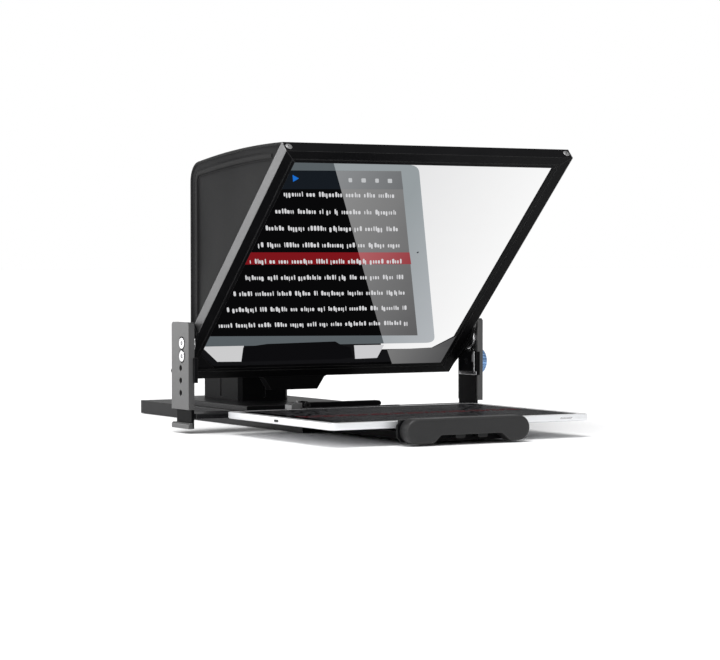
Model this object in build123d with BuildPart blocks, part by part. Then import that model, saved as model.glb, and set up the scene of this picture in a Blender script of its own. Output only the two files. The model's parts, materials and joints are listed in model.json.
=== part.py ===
"""Tablet teleprompter: tilting beam-splitter mirror and cloth hood on a sliding camera base.

Millimetres. +X is the talent's left, -Y faces the talent, +Z is up.
The origin is the mouth of the front tripod thread, in the middle of the base's underside.
"""

import os
from math import cos, radians, sin

from build123d import *

os.makedirs("parts", exist_ok=True)

# Running gaps
slide_gap = 0.2
pin_gap = 0.05
touch_gap = 0.3

# Base: a hollow housing that the tray slides in, and a solid rear part with a guide rail on it.
# The front tripod thread takes the load, so it is the deepest of the three.
base_half = 75.0
base_front = -95.0
base_rear = 292.0
base_h = 15.0
cap_t = 3.0
cavity_half = 60.0
cavity_floor = 3.0
cavity_h = 8.4
cavity_rear = -25.0
rail_half = 12.0
rail_t = 3.6
rail_front = 30.0
thread_38_r = 4.7625
thread_14_r = 3.175
front_thread_t = 10.0
rear_thread_t = 8.0
small_thread_t = 6.5
tripod_rear_y = 90.0

# Mirror frame, tilted back from level about the pivot
tilt = 43.8
pivot_y = -30.0
pivot_z = 93.5
frame_w = 340.0
frame_l = 336.0
frame_t = 12.5
bar_w = 15.3
pivot_up = 55.0
pivot_back = 2.0
glass_t = 3.0
glass_back = 4.0
rebate = 5.0
line_in = 11.5
line_w = 0.9
gusset = 24.0
bracket_t = 2.4
trim_t = 0.5
hub_r = 12.4
bolt_r = 3.0
stop_drop = 13.5

# Tablet, 12.9 inch class
tablet_w = 305.7
tablet_d = 220.6
tablet_t = 6.9
tablet_rear = -70.9
tablet_front = tablet_rear - tablet_d
tablet_corner = 9.0
tablet_z = base_h + 1.5
bezel = 9.0
screen_t = 0.6

# Front tray and clip
tray_rear = -30.0
tray_front = tablet_front - 6.5
plate_t = 2.0
clip_mid = -9.0
clip_half = 72.0
clip_t = 14.0
clip_low = 1.5
clip_high = tablet_z + tablet_t + 3
arch_high = 9.8

# Cross bar, arms and feet
cross_front = -48.0
cross_rear = -15.0
cross_t = 5.5
arm_in = frame_w / 2 + 4.5
arm_out = arm_in + 3.5
arm_front = -42.5
arm_rear = -9.0
arm_top = 79.0
foot_low = 4.5
foot_h = 6.0

# Channel posts that drop over the arms
post_out = arm_out + 4.5
post_in = arm_in + 1.1
post_front = -45.5
post_rear = -6.0
post_low = base_h + 9.5
post_high = pivot_z + 22
knob_z = 67.5
hole_step = 13.0
hole_y = -27.0
collar_low = 52.5
collar_high = 78.5
collar_in = frame_w / 2 + bracket_t + 0.4

# Hood and lens sleeve
hood_half = frame_w / 2 - 3
hood_wall = 2.5
hood_rear = -22.0
lens_r = frame_l / 5.8
lens_above = 3.7
sleeve_end_r = lens_r - 8
sleeve_end_y = 26.0

# Carriage, riser and camera platform
carriage_half = 70.0
carriage_front = 38.0
carriage_rear = 222.0
carriage_t = 6.0
riser_half = 32.0
riser_front = 128.0
riser_rear = 218.0
riser_top = 80.0
riser_wall = 6.0
platform_z = 88.0
platform_t = 10.0
platform_half = 60.0
platform_front = 57.0
platform_rear = 240.0
nose_t = 12.0
nose_low = 36.5
plate_half = 25.0
plate_front = 110.0
plate_rear = 230.0
plate_z = 93.0
plate_top = 108.0
camera_pad_t = 2.0
camera_y = 165.0

# Levers and knobs
lever_x = -45.0
lever_z = base_h + 10.4
lever_front = -50.0
lever_rear = -40.0
lever_end = 48.0
lever_pin_r = 2.5
knob_pin_r = 3.0
carriage_knob_x = 46.0
carriage_knob_y = 196.0
riser_knob_z = 60.0

slope = Vector(0, -cos(radians(tilt)), sin(radians(tilt)))
facing = Vector(0, -sin(radians(tilt)), -cos(radians(tilt)))
pivot = Vector(0, pivot_y, pivot_z)
frame_centre = pivot + slope * (frame_l / 2 - pivot_up) + facing * pivot_back
mirror_plane = Plane(origin=frame_centre, x_dir=(1, 0, 0), z_dir=facing)


def save(piece, name):
    piece.part.label = name
    export_step(piece.part, f"parts/{name}.step")


def slab(x, y, z, mode=Mode.ADD):
    """A box between two values on each axis."""
    middle = ((x[0] + x[1]) / 2, (y[0] + y[1]) / 2, (z[0] + z[1]) / 2)
    with Locations(middle):
        Box(abs(x[1] - x[0]), abs(y[1] - y[0]), abs(z[1] - z[0]), mode=mode)


def rod(axis, centre, span, r, mode=Mode.ADD):
    """A cylinder along one axis between two values on it; centre holds the other two."""
    start, end = min(span), max(span)
    if axis == "x":
        plane = Plane(origin=(start, centre[0], centre[1]), z_dir=(1, 0, 0))
    elif axis == "y":
        plane = Plane(origin=(centre[0], start, centre[1]), z_dir=(0, 1, 0))
    else:
        plane = Plane(origin=(centre[0], centre[1], start), z_dir=(0, 0, 1))
    with Locations(plane.location):
        Cylinder(r, end - start, align=(Align.CENTER, Align.CENTER, Align.MIN), mode=mode)


def both(s, a, b):
    """A span of distances from the middle, on the side s."""
    return (s * a, s * b)


# ---- base ----
with BuildPart() as base_housing:
    slab((-base_half, base_half), (base_front, cavity_rear), (0, base_h))
    slab(
        (-cavity_half - slide_gap, cavity_half + slide_gap),
        (base_front - 1, cavity_rear + 1),
        (cavity_floor, cavity_floor + cavity_h),
        Mode.SUBTRACT,
    )
save(base_housing, "base_housing")

with BuildPart() as base_plate:
    slab((-base_half, base_half), (cavity_rear, base_rear), (0, base_h))
    rod("z", (0, 0), (-1, front_thread_t), thread_38_r, Mode.SUBTRACT)
    rod("z", (0, tripod_rear_y), (-1, rear_thread_t), thread_38_r, Mode.SUBTRACT)
    rod("z", (0, tripod_rear_y / 2), (-1, small_thread_t), thread_14_r, Mode.SUBTRACT)
save(base_plate, "base_plate")

with BuildPart() as guide_rail:
    slab((-rail_half, rail_half), (rail_front, base_rear - 2), (base_h, base_h + rail_t))
    chamfer(guide_rail.edges().filter_by(Axis.Y).group_by(Axis.Z)[-1], 0.4)
save(guide_rail, "guide_rail")

with BuildPart() as base_end_cap:
    slab((-base_half, base_half), (base_rear, base_rear + cap_t), (0, base_h))
save(base_end_cap, "base_end_cap")

with BuildPart() as base_pad:
    slab((-58, 58), (base_front + 4, base_front + 18), (base_h, tablet_z))
save(base_pad, "base_pad")

with BuildPart() as rear_stop:
    slab((-60, 60), (tablet_rear + touch_gap, tablet_rear + 7), (base_h, tablet_z + tablet_t + 0.8))
    chamfer(rear_stop.edges().filter_by(Axis.X).group_by(Axis.Z)[-1], 0.8)
save(rear_stop, "rear_stop")

cross_top = base_h + cross_t
with BuildPart() as cross_bar:
    slab((-arm_in, arm_in), (cross_front, cross_rear), (base_h, cross_top))
    chamfer(cross_bar.edges().filter_by(Axis.X).group_by(Axis.Z)[-1], 0.8)
save(cross_bar, "cross_bar")

for side, s in (("left", -1), ("right", 1)):
    with BuildPart() as arm:
        slab(both(s, arm_in, arm_out), (arm_front, arm_rear), (foot_low, arm_top))
        chamfer(arm.edges().filter_by(Axis.X).group_by(Axis.Z)[-1], 4)
        slot_half = thread_14_r + 0.3
        slot_low = knob_z - slot_half
        slab(
            both(s, arm_in - 1, arm_out + 1),
            (hole_y - slot_half, hole_y + slot_half),
            (slot_low, arm_top + 1),
            Mode.SUBTRACT,
        )
    save(arm, f"{side}_arm")

    with BuildPart() as foot:
        slab(both(s, arm_out, post_out), (post_front, post_rear), (foot_low, foot_low + foot_h))
        outer = foot.edges().filter_by(Axis.Y).group_by(Axis.Z)[-1]
        chamfer(outer.sort_by(Axis.X)[0 if s < 0 else -1], 1.5)
    save(foot, f"{side}_foot")

# ---- clamp lever on the cross bar ----
with BuildPart() as lever_block:
    slab((lever_x - 18, lever_x - 5), (lever_front, lever_rear + 4), (cross_top, lever_z + 3))
    chamfer(lever_block.edges().filter_by(Axis.Y).group_by(Axis.Z)[-1].sort_by(Axis.X)[0], 2.5)
    slab((lever_x - 5, lever_x + 5), (lever_rear + touch_gap, lever_rear + 4), (cross_top, lever_z + 4.4))
    rod("y", (lever_x, lever_z), (lever_rear, lever_rear + 5), lever_pin_r, Mode.SUBTRACT)
save(lever_block, "lever_block")

with BuildPart() as lever_screw:
    rod("y", (lever_x, lever_z), (lever_front - 0.5, lever_rear + 4), lever_pin_r)
    head_plane = Plane(origin=(lever_x, lever_front - 0.4, lever_z), x_dir=(1, 0, 0), z_dir=(0, -1, 0))
    with BuildSketch(head_plane):
        RegularPolygon(4.2, 6)
    extrude(amount=2.6)
    with BuildSketch(Plane(origin=(lever_x, lever_front - 3, lever_z), z_dir=(0, 1, 0))):
        RegularPolygon(2.0, 6)
    extrude(amount=1.6, mode=Mode.SUBTRACT)
save(lever_screw, "lever_screw")

with BuildPart() as clamp_lever:
    rod("y", (lever_x, lever_z), (lever_front, lever_rear), 4.5)
    slab((lever_x, lever_end), (lever_front, lever_rear), (lever_z - 3, lever_z + 2.9))
    chamfer(clamp_lever.edges().filter_by(Axis.Y).group_by(Axis.X)[-1], 2.0)
    rod("y", (lever_x, lever_z), (lever_front - 1, lever_rear + 1), lever_pin_r + pin_gap, Mode.SUBTRACT)
save(clamp_lever, "clamp_lever")

# ---- front tray and clip ----
tray_low = cavity_floor + slide_gap
tray_top = cavity_floor + cavity_h - slide_gap
with BuildPart() as tray:
    slab((-cavity_half, cavity_half), (tray_front, tray_rear), (tray_low, tray_top))
save(tray, "tray")

with BuildPart() as tray_pad:
    slab((-50, 50), (tablet_front + 7, tablet_front + 25), (tray_top, tablet_z))
save(tray_pad, "tray_pad")

with BuildPart() as clip_plate:
    with BuildSketch(Plane(origin=(0, tray_front, 0), x_dir=(1, 0, 0), z_dir=(0, -1, 0))):
        with Locations((clip_mid, (clip_low + clip_high) / 2)):
            Rectangle(2 * clip_half + 6, clip_high - clip_low - 3)
    extrude(amount=plate_t)
    chamfer(clip_plate.edges().filter_by(Axis.Y), 5)
save(clip_plate, "clip_plate")

clip_back = tray_front - plate_t
with BuildPart() as clip:
    with BuildSketch(Plane(origin=(0, clip_back, 0), x_dir=(1, 0, 0), z_dir=(0, -1, 0))):
        with Locations((clip_mid, (clip_low + clip_high) / 2)):
            SlotOverall(2 * clip_half, clip_high - clip_low)
        with BuildLine():
            Polyline(
                (-52, clip_low - 1),
                (-42, arch_high),
                (29, arch_high),
                (41, clip_low - 1),
                close=True,
            )
        make_face(mode=Mode.SUBTRACT)
    extrude(amount=clip_t)
    front_edges = clip.faces().sort_by(Axis.Y)[0].outer_wire().edges()
    fillet(front_edges.filter_by(GeomType.LINE).group_by(Axis.Z)[-1], 3)
save(clip, "clip")

for side, x in (("left", -22), ("right", 4)):
    with BuildPart() as lug:
        slab((x, x + 11), (clip_back - 9, clip_back - 2), (arch_high - 4, arch_high))
        chamfer(lug.edges().filter_by(Axis.Y).group_by(Axis.Z)[0], 1.2)
    save(lug, f"clip_lug_{side}")

with BuildPart() as clip_jaw:
    jaw_face = tablet_front - touch_gap
    slab((clip_mid - 70, clip_mid + 70), (tray_front, jaw_face), (tray_top, clip_high - 1.5))
    slab((clip_mid - 60, clip_mid + 60), (tray_front, jaw_face), (clip_high - 1.5, clip_high - 0.3))
    chamfer(clip_jaw.edges().filter_by(Axis.Z), 1.0)
save(clip_jaw, "clip_jaw")

# ---- tablet, a display body held by the tray ----
tablet_mid = tablet_front + tablet_d / 2
tablet_top = tablet_z + tablet_t
with BuildPart() as tablet_shell:
    with BuildSketch(Plane((0, tablet_mid, tablet_z))):
        RectangleRounded(tablet_w, tablet_d, tablet_corner)
    extrude(amount=tablet_t)
    fillet(tablet_shell.faces().sort_by(Axis.Z)[0].edges(), 2.2)
    with BuildSketch(Plane((0, tablet_mid, tablet_top - screen_t))):
        RectangleRounded(tablet_w - 3, tablet_d - 3, tablet_corner - 1.5)
    extrude(amount=screen_t + 1, mode=Mode.SUBTRACT)
save(tablet_shell, "tablet_shell")

with BuildPart() as tablet_bezel:
    with BuildSketch(Plane((0, tablet_mid, tablet_top - screen_t))):
        RectangleRounded(tablet_w - 3, tablet_d - 3, tablet_corner - 1.5)
        RectangleRounded(tablet_w - 2 * bezel, tablet_d - 2 * bezel, 5, mode=Mode.SUBTRACT)
    extrude(amount=screen_t)
save(tablet_bezel, "tablet_bezel")

with BuildPart() as tablet_display:
    with BuildSketch(Plane((0, tablet_mid, tablet_top - screen_t))):
        RectangleRounded(tablet_w - 2 * bezel, tablet_d - 2 * bezel, 5)
    extrude(amount=screen_t)
save(tablet_display, "tablet_display")

# ---- posts, collars and screws ----
screw_head_r = 5.7
counterbore_r = 7.0
counterbore_t = 2.4
for side, s in (("left", -1), ("right", 1)):
    web_in = arm_out + 0.1
    with BuildPart() as post:
        slab(both(s, post_in, post_out), (post_front, post_rear), (post_low, post_high))
        chamfer(post.edges().filter_by(Axis.X).group_by(Axis.Z)[-1], 2.5)
        slab(
            both(s, post_in - 1, web_in),
            (arm_front - 0.1, arm_rear + 0.1),
            (post_low - 1, post_high + 1),
            Mode.SUBTRACT,
        )
        for z in (pivot_z, pivot_z - stop_drop):
            rod(
                "x",
                (pivot_y, z),
                both(s, post_out - counterbore_t, post_out + 1),
                counterbore_r,
                Mode.SUBTRACT,
            )
            rod("x", (pivot_y, z), both(s, web_in - 3, post_out), bolt_r, Mode.SUBTRACT)
        for i in (0, 1, 2) if s < 0 else (0, 2):
            rod(
                "x",
                (hole_y, knob_z - i * hole_step),
                both(s, web_in - 1, post_out + 1),
                thread_14_r + (pin_gap if s > 0 and i == 0 else 0),
                Mode.SUBTRACT,
            )
    save(post, f"{side}_post")

    with BuildPart() as collar:
        slab(both(s, collar_in, arm_in - slide_gap), (post_front - 2.5, -12), (collar_low, collar_high))
        slab(both(s, arm_in - slide_gap, post_in + 1.4), (post_front - 2.5, post_front), (collar_low, collar_high))
        rod(
            "x",
            (hole_y, knob_z),
            both(s, collar_in - 1, arm_in),
            thread_14_r + pin_gap,
            Mode.SUBTRACT,
        )
    save(collar, f"{side}_collar")

    hub_in = frame_w / 2 + bracket_t
    for name, z, end in (("pivot_screw", pivot_z, hub_in + 0.6), ("stop_screw", pivot_z - stop_drop, web_in)):
        with BuildPart() as screw:
            rod("x", (pivot_y, z), both(s, end, post_out - counterbore_t), bolt_r)
            rod("x", (pivot_y, z), both(s, post_out - counterbore_t, post_out + 0.4), screw_head_r)
            with BuildSketch(Plane(origin=(s * (post_out + 0.5), pivot_y, z), z_dir=(-s, 0, 0))):
                RegularPolygon(2.6, 6)
            extrude(amount=2.0, mode=Mode.SUBTRACT)
        save(screw, f"{side}_{name}")

# ---- bright strip on the right collar, and the blue lock knob on the right post ----
with BuildPart() as right_collar_trim:
    slab((collar_in - trim_t, collar_in), (post_front + 2, post_front + 7), (collar_low, collar_high))
    chamfer(right_collar_trim.faces().sort_by(Axis.X)[0].edges(), 0.2)
save(right_collar_trim, "right_collar_trim")

with BuildPart() as lock_knob:
    knob_in = post_out + 0.4
    rod("x", (hole_y, knob_z), (knob_in, knob_in + 9), 14.0)
    chamfer(lock_knob.edges().filter_by(GeomType.CIRCLE), 1.2)
    for i in range(24):
        a = radians(i * 15)
        centre = (hole_y + 14.4 * cos(a), knob_z + 14.4 * sin(a))
        rod("x", centre, (knob_in - 1, knob_in + 10), 0.95, Mode.SUBTRACT)
    rod("x", (hole_y, knob_z), (knob_in + 8, knob_in + 10), 7.0, Mode.SUBTRACT)
    rod("x", (hole_y, knob_z), (collar_in + 0.1, knob_in + 1), thread_14_r)
save(lock_knob, "lock_knob")

# ---- mirror frame: four mitred bars around the glass ----
half_w = frame_w / 2
half_l = frame_l / 2
inner_w = half_w - bar_w
inner_l = half_l - bar_w
bars = {
    "bar_bottom": [(-half_w, -half_l), (half_w, -half_l), (inner_w, -inner_l), (-inner_w, -inner_l)],
    "bar_top": [(-half_w, half_l), (half_w, half_l), (inner_w, inner_l), (-inner_w, inner_l)],
    "bar_left": [(-half_w, -half_l), (-half_w, half_l), (-inner_w, inner_l), (-inner_w, -inner_l)],
    "bar_right": [(half_w, -half_l), (half_w, half_l), (inner_w, inner_l), (inner_w, -inner_l)],
}
for name, corners in bars.items():
    with BuildPart() as bar:
        with BuildSketch(mirror_plane):
            with BuildLine():
                Polyline(*corners, close=True)
            make_face()
        extrude(amount=-frame_t)
        with BuildSketch(mirror_plane.offset(-glass_back)):
            Rectangle(2 * (inner_w + rebate), 2 * (inner_l + rebate))
        extrude(amount=-(glass_t + slide_gap), mode=Mode.SUBTRACT)
        with BuildSketch(mirror_plane):
            Rectangle(2 * (half_w - line_in + line_w), 2 * (half_l - line_in + line_w))
            Rectangle(2 * (half_w - line_in), 2 * (half_l - line_in), mode=Mode.SUBTRACT)
        extrude(amount=-0.6, mode=Mode.SUBTRACT)
    save(bar, name)

with BuildPart() as mirror_glass:
    with BuildSketch(mirror_plane.offset(-glass_back - slide_gap / 2)):
        Rectangle(2 * (inner_w + rebate) - 0.4, 2 * (inner_l + rebate) - 0.4)
    extrude(amount=-glass_t)
save(mirror_glass, "mirror_glass")

for side, s in (("left", -1), ("right", 1)):
    with BuildPart() as corner_gusset:
        with BuildSketch(mirror_plane.offset(-0.8)):
            with BuildLine():
                Polyline(
                    (s * inner_w, -inner_l),
                    (s * (inner_w - gusset), -inner_l),
                    (s * inner_w, -inner_l + gusset * 0.9),
                    close=True,
                )
            make_face()
        extrude(amount=-2.4)
    save(corner_gusset, f"{side}_gusset")

    with BuildPart() as pivot_bracket:
        side_plane = Plane(
            origin=frame_centre + Vector(s * half_w, 0, 0),
            x_dir=tuple(slope),
            z_dir=(s, 0, 0),
        )
        up = pivot_up - half_l
        flip = 1 if side_plane.y_dir.dot(facing) > 0 else -1
        with BuildSketch(side_plane):
            with BuildLine():
                Polyline(
                    (-half_l, 0),
                    (-half_l, -flip * frame_t),
                    (up + 18, -flip * frame_t),
                    (up + 18, 0),
                    (up + 9, flip * 4.5),
                    (up - 9, flip * 4.5),
                    (-half_l + 14, flip * 0.01),
                    close=True,
                )
            make_face()
        extrude(amount=bracket_t)
        rod("x", (pivot_y, pivot_z), both(s, half_w - 1, half_w + bracket_t + 1), bolt_r + 0.5, Mode.SUBTRACT)
    save(pivot_bracket, f"{side}_bracket")

    with BuildPart() as hub:
        rod("x", (pivot_y, pivot_z), both(s, half_w + bracket_t, arm_out), hub_r)
        chamfer(hub.faces().sort_by(Axis.X)[0 if s > 0 else -1].edges(), 0.8)
        rod("x", (pivot_y, pivot_z), both(s, half_w, arm_out + 1), bolt_r + pin_gap, Mode.SUBTRACT)
    save(hub, f"{side}_hub")

    with BuildPart() as side_trim:
        with BuildSketch(side_plane):
            with Locations(((up + 18.5 + half_l) / 2, -flip * frame_t / 2)):
                Rectangle(half_l - up - 18.5, frame_t)
        extrude(amount=trim_t)
    save(side_trim, f"{side}_side_trim")

# ---- hood and lens sleeve ----
back = frame_centre - facing * (frame_t + touch_gap)


def on_back(u):
    """A point of the frame's back plane, u up the slope from its centre, as (Y, Z)."""
    p = back + slope * u
    return (p.Y, p.Z)


def back_at(y, push=0.0):
    """The height of the frame's back plane, pushed towards the talent, at one Y."""
    p = back + facing * push
    return p.Z - (y - p.Y) * sin(radians(tilt)) / cos(radians(tilt))


hood_top = on_back(half_l - 2)
hood_low = (hood_rear, back_at(hood_rear))
crown = hood_top[1]
lens_z = frame_centre.Z + lens_above
with BuildPart() as hood:
    with BuildSketch(Plane(origin=(-hood_half, 0, 0), x_dir=(0, 1, 0), z_dir=(1, 0, 0))):
        with BuildLine():
            Polyline(
                hood_low,
                (hood_rear, crown - 32.4),
                (hood_rear - 2.5, crown - 23.4),
                (hood_rear - 9, crown - 16.4),
                (hood_rear - 18, crown - 12.9),
                (hood_rear - 105, crown - 3.3),
                hood_top,
                close=True,
            )
        make_face()
    extrude(amount=2 * hood_half)
    inner_y = hood_rear - hood_wall
    with BuildSketch(Plane(origin=(-hood_half + hood_wall, 0, 0), x_dir=(0, 1, 0), z_dir=(1, 0, 0))):
        with BuildLine():
            Polyline(
                (inner_y, back_at(inner_y, frame_t)),
                (inner_y, crown - 32.4),
                (inner_y - 2.2, crown - 24.9),
                (inner_y - 7.5, crown - 18.6),
                (inner_y - 16, crown - 15.4),
                (hood_rear - 105, crown - 3.3 - hood_wall),
                (hood_top[0] + 3, hood_top[1] - hood_wall),
                (hood_top[0] - 12, hood_top[1] - hood_wall),
                close=True,
            )
        make_face()
    extrude(amount=2 * (hood_half - hood_wall), mode=Mode.SUBTRACT)
    rod("y", (0, lens_z), (hood_rear - 10, hood_rear + 5), lens_r, Mode.SUBTRACT)
save(hood, "hood")

with BuildPart() as lens_sleeve:
    sleeve_y = hood_rear + 0.1
    with BuildSketch(Plane(origin=(0, sleeve_y, lens_z), z_dir=(0, 1, 0))):
        Circle(lens_r + hood_wall)
    with BuildSketch(Plane(origin=(0, sleeve_end_y, lens_z), z_dir=(0, 1, 0))):
        Circle(sleeve_end_r + hood_wall)
    loft()
    with BuildSketch(Plane(origin=(0, sleeve_y - 0.01, lens_z), z_dir=(0, 1, 0))):
        Circle(lens_r)
    with BuildSketch(Plane(origin=(0, sleeve_end_y + 0.01, lens_z), z_dir=(0, 1, 0))):
        Circle(sleeve_end_r)
    loft(mode=Mode.SUBTRACT)
save(lens_sleeve, "lens_sleeve")

# ---- carriage and riser ----
carriage_z = base_h + 0.1
carriage_top = base_h + carriage_t
carriage_knob_at = (carriage_knob_x, carriage_knob_y)
with BuildPart() as carriage_plate:
    slab((-carriage_half, carriage_half), (carriage_front, carriage_rear), (carriage_z, carriage_top))
    chamfer(carriage_plate.edges().filter_by(Axis.Y).group_by(Axis.Z)[-1], 1.0)
    slab(
        (-rail_half - slide_gap, rail_half + slide_gap),
        (carriage_front - 1, carriage_rear + 1),
        (base_h, base_h + rail_t + slide_gap),
        Mode.SUBTRACT,
    )
    rod("z", carriage_knob_at, (carriage_z - 1, carriage_top + 1), knob_pin_r + pin_gap, Mode.SUBTRACT)
save(carriage_plate, "carriage_plate")

with BuildPart() as riser:
    riser_mid = (riser_front + riser_rear) / 2
    column_half = riser_half - riser_wall
    slab((-riser_half, riser_half), (riser_front, riser_rear), (carriage_top, riser_top))
    chamfer(riser.edges().filter_by(Axis.Z), 4.0)
    slab(
        (-column_half - slide_gap / 2, column_half + slide_gap / 2),
        (riser_front + riser_wall - slide_gap / 2, riser_rear - riser_wall + slide_gap / 2),
        (carriage_top + 3, riser_top + 1),
        Mode.SUBTRACT,
    )
    for x in (-riser_half, riser_half):
        slab((x - 1, x + 1), (riser_mid - 1.5, riser_mid + 1.5), (carriage_top + 3, riser_top + 1), Mode.SUBTRACT)
    for y in (riser_front, riser_rear):
        slab((-1.5, 1.5), (y - 1, y + 1), (carriage_top + 3, riser_top + 1), Mode.SUBTRACT)
    riser_knob_at = (riser_mid + 10, riser_knob_z)
    rod("x", riser_knob_at, (column_half, riser_half + 1), knob_pin_r + pin_gap, Mode.SUBTRACT)
save(riser, "riser")

with BuildPart() as carriage_knob:
    rod("z", carriage_knob_at, (base_h + 0.3, carriage_top + 0.3), knob_pin_r)
    rod("z", carriage_knob_at, (carriage_top + 0.2, carriage_top + 12), 10.0)
    chamfer(carriage_knob.edges().filter_by(GeomType.CIRCLE).group_by(Axis.Z)[-1], 1.5)
save(carriage_knob, "carriage_knob")

with BuildPart() as riser_knob:
    rod("x", riser_knob_at, (column_half + 0.2, riser_half + 0.4), knob_pin_r)
    rod("x", riser_knob_at, (riser_half + 0.3, riser_half + 13), 10.0)
    chamfer(riser_knob.edges().filter_by(GeomType.CIRCLE).group_by(Axis.X)[-1], 1.5)
save(riser_knob, "riser_knob")

# ---- column, camera platform and plate ----
with BuildPart() as riser_column:
    slab(
        (-column_half, column_half),
        (riser_front + riser_wall, riser_rear - riser_wall),
        (carriage_top + 5, platform_z),
    )
save(riser_column, "riser_column")

with BuildPart() as platform:
    slab(
        (-platform_half, platform_half),
        (platform_front, platform_rear),
        (platform_z, platform_z + platform_t),
    )
    chamfer(platform.edges().filter_by(Axis.Z), 6.0)
    slab(
        (-plate_half - slide_gap, plate_half + slide_gap),
        (platform_front - 1, platform_rear + 1),
        (plate_z, platform_z + platform_t + 1),
        Mode.SUBTRACT,
    )
save(platform, "platform")

with BuildPart() as platform_nose:
    nose = [(29, nose_low), (38, 50), (70, 66), (70, 80), (62, 85.5), (50, platform_z)]
    nose_plane = Plane(origin=(0, platform_front + nose_t, 0), x_dir=(1, 0, 0), z_dir=(0, -1, 0))
    with BuildSketch(nose_plane):
        with BuildLine():
            Polyline(*nose, *[(-x, z) for x, z in reversed(nose)], close=True)
        make_face()
    extrude(amount=nose_t)
save(platform_nose, "platform_nose")

head_r = 9.0
neck_r = 2.9
head_z = plate_z + 1.5
pad_top = plate_top + camera_pad_t
with BuildPart() as camera_plate:
    slab((-plate_half, plate_half), (plate_front, plate_rear), (plate_z + slide_gap, plate_top))
    chamfer(camera_plate.edges().filter_by(Axis.Y).group_by(Axis.Z)[-1], 1.5)
    rod("z", (0, camera_y), (plate_z, head_z + 8), head_r + 0.3, Mode.SUBTRACT)
    rod("z", (0, camera_y), (plate_z, plate_top + 1), neck_r + pin_gap, Mode.SUBTRACT)
save(camera_plate, "camera_plate")

with BuildPart() as camera_pad:
    slab((-22, 22), (plate_front + 3, plate_rear - 3), (plate_top, pad_top))
    rod("z", (0, camera_y), (plate_top - 1, plate_top + 5), thread_14_r + 0.5, Mode.SUBTRACT)
save(camera_pad, "camera_pad")

with BuildPart() as camera_screw:
    rod("z", (0, camera_y), (head_z, head_z + 7.8), head_r)
    rod("z", (0, camera_y), (head_z + 7, pad_top + touch_gap), neck_r)
    rod("z", (0, camera_y), (pad_top + touch_gap, pad_top + touch_gap + 5.5), thread_14_r)
    slab((-1, 1), (camera_y - head_r - 1, camera_y + head_r + 1), (head_z - 1, head_z + 1.2), Mode.SUBTRACT)
save(camera_screw, "camera_screw")
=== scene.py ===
import json
import random
from math import atan2, cos, pi, radians, sin, sqrt

import bpy
import bmesh
from mathutils import Matrix, Vector, noise


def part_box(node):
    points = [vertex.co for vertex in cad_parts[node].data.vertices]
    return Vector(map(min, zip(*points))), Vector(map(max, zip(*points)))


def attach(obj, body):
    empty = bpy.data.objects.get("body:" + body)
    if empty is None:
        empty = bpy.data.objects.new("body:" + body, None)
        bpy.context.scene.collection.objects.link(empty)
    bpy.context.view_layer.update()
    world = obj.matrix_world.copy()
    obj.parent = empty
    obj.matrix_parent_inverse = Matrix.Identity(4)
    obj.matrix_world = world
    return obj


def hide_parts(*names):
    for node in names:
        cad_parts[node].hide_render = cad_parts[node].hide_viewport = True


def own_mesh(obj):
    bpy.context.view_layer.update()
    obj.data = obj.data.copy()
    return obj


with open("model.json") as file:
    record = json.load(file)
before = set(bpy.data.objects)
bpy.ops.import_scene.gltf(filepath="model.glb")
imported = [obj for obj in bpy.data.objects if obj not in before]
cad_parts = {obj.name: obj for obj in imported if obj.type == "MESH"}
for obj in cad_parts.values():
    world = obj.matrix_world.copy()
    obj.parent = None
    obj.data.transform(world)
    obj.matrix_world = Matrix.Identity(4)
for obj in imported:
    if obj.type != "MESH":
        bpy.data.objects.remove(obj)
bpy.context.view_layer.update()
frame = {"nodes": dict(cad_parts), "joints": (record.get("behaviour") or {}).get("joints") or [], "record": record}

mm = 0.001
scene = bpy.context.scene
nodes = frame["nodes"]


def deselect():
    if bpy.context.object and bpy.context.object.mode != "OBJECT":
        bpy.ops.object.mode_set(mode="OBJECT")
    bpy.ops.object.select_all(action="DESELECT")


def only(piece):
    deselect()
    piece.select_set(True)
    bpy.context.view_layer.objects.active = piece


def started(name):
    # names the primitive that was just added
    piece = bpy.context.object
    piece.name = name
    piece.data.name = name
    return piece


def editing(piece):
    only(piece)
    bpy.ops.object.mode_set(mode="EDIT")
    bpy.ops.mesh.select_mode(type="FACE")


def edited():
    bpy.ops.object.mode_set(mode="OBJECT")


def everything():
    bpy.ops.mesh.select_all(action="SELECT")


def facedOut():
    # turns all faces outwards and leaves edit mode
    everything()
    bpy.ops.mesh.normals_make_consistent(inside=False)
    edited()


def pick(piece, test):
    # selects the faces whose middle and normal pass the test
    bpy.ops.mesh.select_all(action="DESELECT")
    shape = bmesh.from_edit_mesh(piece.data)
    for face in shape.faces:
        face.select_set(test(face.calc_center_median(), face.normal))
    shape.select_flush_mode()
    bmesh.update_edit_mesh(piece.data)


def upwards(centre, normal):
    return normal.z > 0.9


def push(z):
    # extrudes the picked faces along z
    bpy.ops.mesh.extrude_region_move(TRANSFORM_OT_translate={"value": (0, 0, z)})


def settled(piece, matrix=None):
    # puts the piece's place into its mesh
    only(piece)
    if matrix is not None:
        piece.matrix_world = matrix @ piece.matrix_world
    bpy.context.view_layer.update()
    bpy.ops.object.transform_apply(location=True, rotation=True, scale=True)
    return piece


def modified(piece, kind, **values):
    only(piece)
    modifier = piece.modifiers.new(kind.title(), kind)
    for key, value in values.items():
        setattr(modifier, key, value)
    bpy.ops.object.modifier_apply(modifier=modifier.name)


def linked(name, data):
    piece = bpy.data.objects.new(name, data)
    scene.collection.objects.link(piece)
    return piece


def dressed(piece, material, body):
    piece.data.materials.clear()
    piece.data.materials.append(material)
    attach(piece, body)
    return piece


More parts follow.
